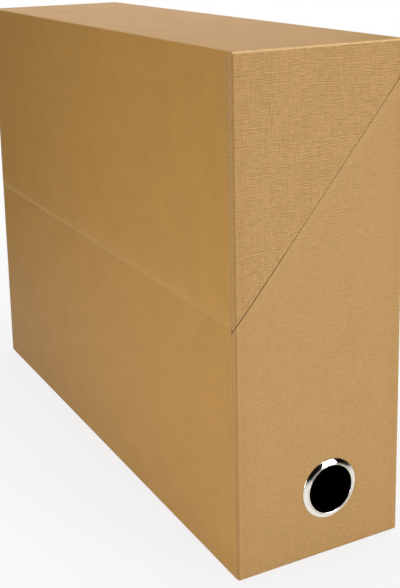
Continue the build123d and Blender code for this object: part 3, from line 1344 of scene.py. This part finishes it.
    def kept(self, plan: Sequence[Station], rows: int) -> np.ndarray:
        """Which quads are there: none turned over under the hinge strip, none from flap to lid.

        Args:
            plan: The line seen from above.
            rows: Number of rows of points.

        Returns:
            True for each quad that is there.
        """
        keep = np.ones((rows - 1, len(plan) - 1), bool)
        on_lap = np.arange(len(plan) - 1) < self.side_columns - 1
        places = np.array([abs(at.y) for at in plan[1:]])
        under_strip = on_lap & (places < BOX.inside_y - self.strip_stop)
        behind = len(self.cap_shares) + len(self.lip_shares)
        if self.part is Part.BASE:
            keep[-behind:, under_strip] = False
        else:
            keep[:behind, under_strip] = False
            keep[behind - 1, on_lap] = False
        return keep

    def ring_hole(self, points: np.ndarray) -> RoundHole:
        """The hole for the finger ring, with the patch of the grid that it needs.

        Args:
            points: The linen's grid of points.

        Returns:
            The hole.
        """
        ring = FingerRing()
        row, column = points[len(points) // 2], points[:, points.shape[1] // 2]
        reach = ring.hole_radius + self.hole_margin
        on_face = np.abs(row[:, 1] + BOX.half_length) < SAME_POINT
        c = np.flatnonzero(on_face & (np.abs(row[:, 0] - ring.centre.x) < reach))
        r = np.flatnonzero(np.abs(column[:, 2] - ring.centre.z) < reach)
        return RoundHole(slice(r[0], r[-1]), slice(c[0], c[-1]), np.array(ring.centre), ring.hole_radius)


@dataclass
class FingerRing:
    """The chromed ring in the spine: a domed flange, a bead at the bore's edge, a barrel and a rolled lip."""

    name: str = "chrome_finger_ring"
    centre: Vector = field(default_factory=lambda: Vector((5.0 * MM, -170.0 * MM, 35.0 * MM)))
    segments: int = 144
    hole_radius: float = 13.1 * MM
    sharp_degrees: float = 50.0

    def profile(self) -> list[Point2]:
        """The ring's closed outline, from its flange round its bore and lip to its back.

        Returns:
            Its points, as radius and height out of the spine's face.
        """
        flange = [
            (15.60, 0.02), (15.60, 0.10), (15.57, 0.22), (15.47, 0.36), (15.30, 0.49), (15.08, 0.605),
            (14.84, 0.725), (14.60, 0.845), (14.36, 0.955), (14.12, 1.052), (13.88, 1.148), (13.66, 1.234),
            (13.50, 1.295), (13.43, 1.31), (13.38, 1.27), (13.31, 1.12), (13.24, 0.94),
        ]
        bead = [
            (13.20, 0.96), (13.13, 1.12), (13.07, 1.27), (13.00, 1.37), (12.90, 1.43), (12.79, 1.455),
            (12.68, 1.44), (12.59, 1.38), (12.53, 1.27), (12.51, 1.12), (12.50, 0.9),
        ]
        barrel = [(12.50, 0.2), (12.50, -1.2), (12.50, -2.6), (12.50, -3.35)]
        lip = [
            (12.55, -3.6), (12.7, -3.75), (12.95, -3.8), (13.4, -3.8), (13.9, -3.76), (14.2, -3.66),
            (14.38, -3.5), (14.4, -3.38), (14.3, -3.32), (13.2, -3.31), (13.02, -3.2),
        ]
        back = [(13.0, -1.6), (13.0, -0.02), (14.3, 0.0)]
        return [(r * MM, h * MM) for r, h in (*flange, *bead, *barrel, *lip, *back)]

    def build(self, finish: bpy.types.Material) -> bpy.types.Object:
        """Turns the profile about the ring's axis, which runs along Y.

        Args:
            finish: The ring's material.

        Returns:
            The object.
        """
        angles = np.linspace(0, 2 * math.pi, self.segments, endpoint=False)
        radius, height = np.array(self.profile()).T[:, :, None]
        across, up = self.centre.x + radius * np.cos(angles), self.centre.z + radius * np.sin(angles)
        points = np.stack(np.broadcast_arrays(across, self.centre.y - height, up), axis=-1)
        index = np.arange(across.size).reshape(across.shape)
        above = np.roll(index, -1, axis=0)
        faces = np.stack((index, np.roll(index, -1, axis=1), np.roll(above, -1, axis=1), above), axis=-1)
        ring = new_piece(self.name, points.reshape(-1, 3), faces.reshape(-1, 4))
        work = bmesh.new()
        work.from_mesh(ring.data)
        bmesh.ops.recalc_face_normals(work, faces=work.faces)
        work.to_mesh(ring.data)
        work.free()
        ring.data.materials.append(finish)
        return finished(ring, self.sharp_degrees)


# The box


@dataclass
class CoveredBox:
    """Builds every paper and the ring, and dresses the nodes that stay.

    Each blend is handed on as half the width of a bend square to the cut, and is not used.
    """

    nodes: dict[str, bpy.types.Object]
    finishes: Finishes
    wrap_blend: float = 0.15 * MM
    strip_blend: float = 0.1 * MM
    linen_blend: float = 0.03 * MM

    def dress(self) -> None:
        """Gives each board, lining and washer its finish."""
        own = self.finishes
        finishes = {"board": own.board, "lining": own.lining, "washer": own.nickel}
        for name, node in self.nodes.items():
            finish = finishes.get(name.split("_")[-1])
            if finish is not None:
                node.data.materials.clear()
                node.data.materials.append(finish)
                LOG.info("%s: %s", name, finish.name)

    def cover(self) -> None:
        """Builds the papers and the ring, seats some on the base, and leaves the rest where they are built.
        """
        smooth, core, dark = self.finishes.smooth, self.finishes.core, self.finishes.lining_sheet
        wrap = WrapPaper().sheet().build(smooth, core)
        self.bridge(wrap, self.wrap_blend, "kraft_smooth", "base_hinge_side_sheet", "lid_wrap_sheet")
        self.seat(OpeningPaper().sheet().build(smooth, core), "base_opening_side_sheet")
        self.seat(FloorPaper().sheet().build(smooth, core), "base_floor_sheet")
        strip = HingeStrip().sheet().build(dark, dark)
        self.bridge(strip, self.strip_blend, "dark_lining", "base_hinge_strip", "lid_hinge_strip")
        for end in End:
            base = EndLinen(Part.BASE, end).sheet().build(self.finishes.base_linen, core)
            self.seat(base, f"base_{end.name.lower()}_linen")
        for end in End:
            lid = EndLinen(Part.LID, end).sheet().build(self.finishes.lid_linen, core)
            self.bridge(lid, self.linen_blend, "kraft_linen", f"lid_{end.name.lower()}_linen")
        self.seat(FingerRing().build(self.finishes.chrome), "finger_ring")

    def bridge(self, piece: bpy.types.Object, half: float, slot: str, *nodes: str) -> None:
        """Keeps a piece where it stands, in place of its nodes, which are hidden.

        Args:
            piece: The piece.
            half: Not used.
            slot: Not used.
            *nodes: The nodes that it stands for.
        """
        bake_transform(piece)
        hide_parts(*nodes)
        self.report(piece)

    def seat(self, piece: bpy.types.Object, node: str) -> None:
        """Lets a piece ride on the base, in place of its node.

        Args:
            piece: The piece.
            node: The node that it stands for.
        """
        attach(piece, "base")
        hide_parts(node)
        self.report(piece)

    def report(self, piece: bpy.types.Object) -> None:
        """Logs the piece's name and its number of faces."""
        LOG.info("%s: %d faces", piece.name, len(piece.data.polygons))


# The studio


@dataclass(frozen=True)
class Softbox:
    """A rectangular lamp that faces a point."""

    name: str
    place: tuple[float, float, float]
    aim: tuple[float, float, float]
    width: float
    height: float
    watts: float

    def build(self) -> None:
        """Makes the lamp, unseen by the camera itself."""
        lamp = bpy.data.lights.new(self.name, "AREA")
        lamp.shape = "RECTANGLE"
        lamp.size, lamp.size_y = self.width, self.height
        lamp.energy = self.watts
        holder = bpy.data.objects.new(self.name, lamp)
        bpy.context.scene.collection.objects.link(holder)
        holder.location = self.place
        towards = Vector(self.aim) - Vector(self.place)
        holder.rotation_mode = "QUATERNION"
        holder.rotation_quaternion = towards.to_track_quat("-Z", "Y")
        holder.visible_camera = False


@dataclass
class Studio:
    """Floor, sky and softboxes.

    As a light the sky has the strength sky. In metal it goes from dark_sky on the spine's side to dim_sky
    beyond the rear, between the directions in sky_turn. The floor turns plain white between the distances
    clear_from and clear_to. In metal it darkens from near_glow to far_glow, between dim_from and dim_to.
    """

    softboxes: tuple[Softbox, ...] = (
        Softbox("key_softbox", (0.75, -1.55, 0.40), (0.0, -0.1, 0.12), 0.7, 0.9, 17.2),
        Softbox("side_softbox", (-0.48, -0.22, 0.05), (-0.05, -0.08, 0.06), 0.30, 0.30, 1.44),
        Softbox("top_softbox", (0.1, 0.1, 1.5), (0.0, 0.0, 0.2), 1.0, 1.0, 12.7),
        Softbox("back_softbox", (0.55, 1.45, 0.60), (0.0, 0.0, 0.2), 1.2, 0.5, 3.6),
    )
    sky: float = 0.22
    dark_sky: float = 0.0048
    dim_sky: float = 0.12
    sky_turn: Point2 = (-0.25, 0.35)
    floor_tone: float = 0.80
    floor_reach: float = 14.0
    floor_drop: float = 0.02 * MM
    floor_squeeze: tuple[float, float, float] = (1.25, 0.8, 1.0)
    clear_from: float = 0.16
    clear_to: float = 0.60
    seen_least: float = 0.80
    dim_from: float = 0.22
    dim_to: float = 0.52
    near_glow: float = 0.95
    far_glow: float = 0.04

    def floor(self) -> None:
        """Makes the pale floor, which keeps the box's shadow and fades to plain white away from it."""
        corners = np.array([(-1, -1, 0), (1, -1, 0), (1, 1, 0), (-1, 1, 0)]) * self.floor_reach
        floor = new_piece("studio_floor", corners, np.array([(0, 1, 2, 3)]))
        floor.location.z = -self.floor_drop
        floor.data.materials.append(self.floor_finish())

    def floor_finish(self) -> bpy.types.Material:
        """Makes the floor's material: matt to light, and with a glow to the camera and in metal.

        Returns:
            The material.
        """
        shade = Shade("studio_floor")
        material = shade.surface((self.floor_tone,) * 3, 0.9, 0.1)
        path = shade.add("ShaderNodeLightPath").outputs
        squeezed = shade.stretched(shade.place(Lay.SOLID), self.floor_squeeze)
        away = shade.add("ShaderNodeVectorMath", {0: squeezed}, operation="LENGTH").outputs["Value"]
        direct = shade.worked("MAXIMUM", path["Is Camera Ray"], path["Is Transmission Ray"])
        cleared = shade.remap(away, self.clear_from, self.clear_to, self.seen_least, 1.0)
        glowing = shade.worked("MAXIMUM", shade.product(direct, cleared), path["Is Glossy Ray"])
        dimmed = shade.remap(away, self.dim_from, self.dim_to, self.near_glow, self.far_glow)
        strength = shade.between(path["Is Glossy Ray"], 1.0, dimmed)
        glow = shade.add("ShaderNodeEmission", {"Strength": strength})
        both = {0: glowing, 1: shade.shader.outputs[0], 2: glow.outputs[0]}
        shade.join(shade.add("ShaderNodeMixShader", both).outputs[0], shade.output.inputs["Surface"])
        return material

    def world(self) -> None:
        """Makes the sky: white to the camera and to glass, and dark behind the camera in metal."""
        world = bpy.data.worlds.new("studio_sky")
        bpy.context.scene.world = world
        world.use_nodes = True
        nodes = Nodes(world.node_tree)
        path = nodes.add("ShaderNodeLightPath").outputs
        direction = nodes.add("ShaderNodeTexCoord").outputs["Generated"]
        far = nodes.add("ShaderNodeSeparateXYZ", {0: direction}).outputs["Y"]
        in_metal = nodes.remap(far, *self.sky_turn, self.dark_sky, self.dim_sky)
        lit = nodes.between(path["Is Glossy Ray"], self.sky, in_metal)
        direct = nodes.worked("MAXIMUM", path["Is Camera Ray"], path["Is Transmission Ray"])
        strength = nodes.between(direct, lit, 1.0)
        white = (1.0, 1.0, 1.0, 1.0)
        light = nodes.add("ShaderNodeBackground", {"Color": white, "Strength": strength})
        nodes.add("ShaderNodeOutputWorld", {"Surface": light.outputs[0]})

    def build(self) -> None:
        """Sets the whole studio up."""
        self.floor()
        self.world()
        for softbox in self.softboxes:
            softbox.build()
            LOG.info("%s: %.1f W", softbox.name, softbox.watts)
        bpy.context.scene.view_settings.view_transform = "Standard"


@dataclass(frozen=True)
class PhotoCamera:
    """The camera at the photograph's place, its angles in degrees and its sensor in millimetres.

    Its focal length and the photograph's long side are in pixels, and its shift is a share of that side.
    """

    azimuth: float = -27.865
    elevation: float = 12.445
    roll: float = -1.135
    place: tuple[float, float, float] = (-0.274498, -0.568234, 0.306918)
    focal_pixels: float = 1067.738
    shift_down: float = 0.22
    long_side: float = 588.0
    sensor: float = 36.0
    clip: Point2 = (0.01, 60.0)

    def build(self) -> bpy.types.Object:
        """Makes the camera and gives it to the scene.

        Returns:
            The camera.
        """
        data = bpy.data.cameras.new("photo_camera")
        data.sensor_width = self.sensor
        data.lens = self.focal_pixels * self.sensor / self.long_side
        data.shift_y = -self.shift_down
        data.clip_start, data.clip_end = self.clip
        a, e, r = (math.radians(v) for v in (self.azimuth, self.elevation, self.roll))
        back = Vector((math.sin(a) * math.cos(e), -math.cos(a) * math.cos(e), math.sin(e)))
        right = (-back).cross(Vector((0, 0, 1))).normalized()
        up = right.cross(-back)
        rolled_right = math.cos(r) * right + math.sin(r) * up
        rolled_up = -math.sin(r) * right + math.cos(r) * up
        turn = Matrix((rolled_right, rolled_up, back)).transposed()
        camera = bpy.data.objects.new("photo_camera", data)
        camera.matrix_world = Matrix.Translation(Vector(self.place)) @ turn.to_4x4()
        bpy.context.scene.collection.objects.link(camera)
        bpy.context.scene.camera = camera
        return camera


def main() -> None:
    """Builds the box and its studio."""
    logging.basicConfig(level=logging.INFO, format="%(name)s: %(message)s")
    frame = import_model()
    camera = PhotoCamera().build()
    LOG.info("%s: %.1f mm lens", camera.name, camera.data.lens)
    box = CoveredBox(frame["nodes"], Finishes())
    box.dress()
    box.cover()
    Studio().build()


if __name__ == "__main__":
    main()
